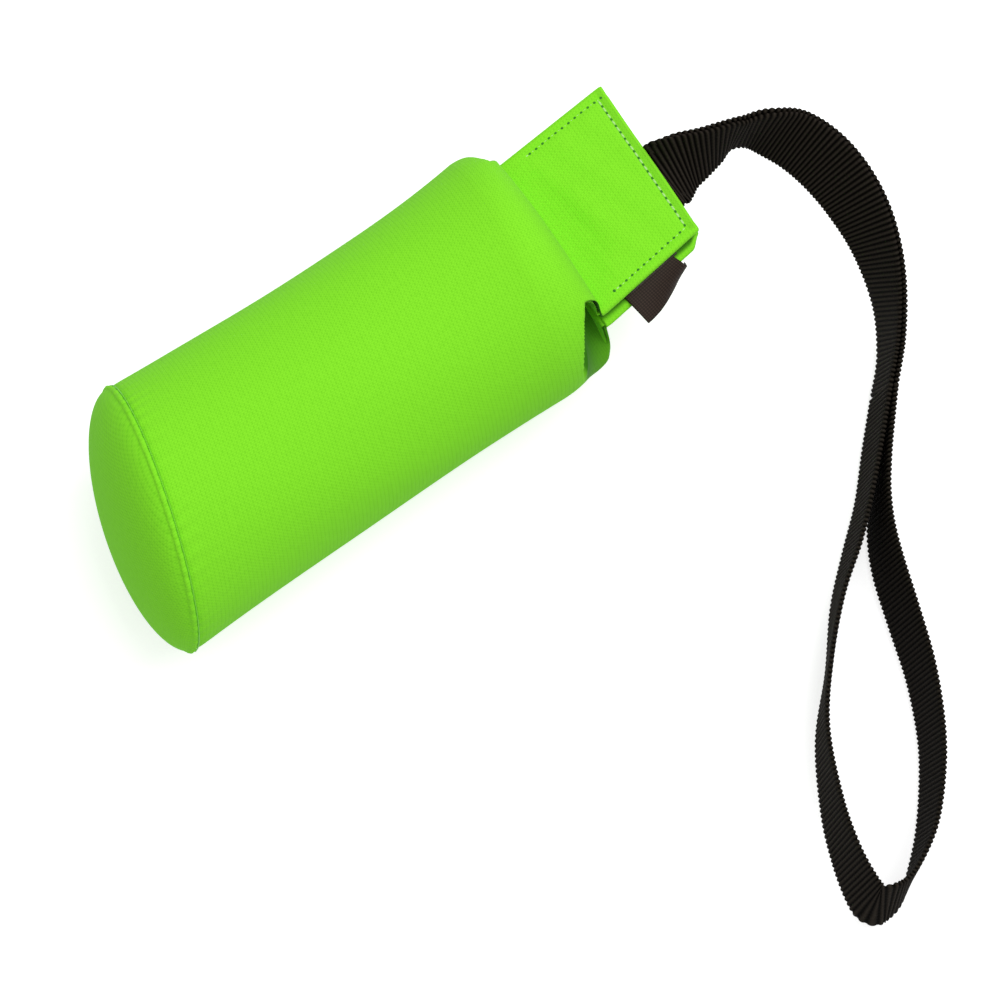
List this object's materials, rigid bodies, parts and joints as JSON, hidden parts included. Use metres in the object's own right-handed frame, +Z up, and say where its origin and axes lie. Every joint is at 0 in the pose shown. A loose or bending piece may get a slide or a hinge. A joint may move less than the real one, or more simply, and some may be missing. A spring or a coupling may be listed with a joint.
{
  "type": "training bumper",
  "caption": "Soft canvas retrieving bumper: granulate-filled round bag with a sewn base disc, a flat topstitched tab and a doubled webbing hand loop.",
  "frame": {"origin": "middle of the flat patch that the bag rests on, on the ground", "axes": "+X along the bag from the base towards the tab, +Y to the left, +Z up"},
  "size_m": [0.214, 0.2148, 0.0658],
  "materials": {
    "canvas": "woven cotton canvas, lime green",
    "thread": "spun polyester sewing thread",
    "black_thread": "spun polyester sewing thread, black",
    "webbing": "ribbed polypropylene webbing, black",
    "label": "woven satin label, dark brown",
    "liner": "thin close-woven liner cloth",
    "fill": "plastic granulate"
  },
  "bodies": {
    "bag": {"canvas_sleeve": "canvas", "base_disc": "canvas", "base_seam_allowance": "canvas", "base_seam_thread": "thread", "side_seam_allowance": "canvas", "inner_liner": "liner", "granulate_fill": "fill"},
    "tab": {"tab_top_layer": "canvas", "tab_bottom_layer": "canvas", "tab_top_hem": "canvas", "tab_bottom_hem": "canvas", "tab_left_fold": "canvas", "tab_right_fold": "canvas", "tab_topstitch": "thread", "strap_upper_end": "webbing", "strap_lower_end": "webbing", "strap_tack": "black_thread", "label_tail": "label"},
    "label": {"side_label": "label"},
    "loop": {"strap_upper_ply": "webbing", "strap_lower_ply": "webbing", "hand_loop": "webbing"}
  },
  "joints": [
    {"name": "tab_fold", "type": "hinge", "parent": "bag", "child": "tab", "pos_m": [0.06495, 0, 0.036], "axis": [0, -1, 0], "range_deg": [-45, 60]},
    {"name": "loop_swing", "type": "hinge", "parent": "tab", "child": "loop", "pos_m": [0.0973, -0.0015, 0.036], "axis": [0, -1, 0], "range_deg": [0, 80]},
    {"name": "label_flap", "type": "hinge", "parent": "tab", "child": "label", "pos_m": [0.06909, -0.02284, 0.036], "axis": [0.9912, 0.1327, 0], "range_deg": [-60, 60], "stiffness_Nm_per_rad": 0.002}
  ]
}
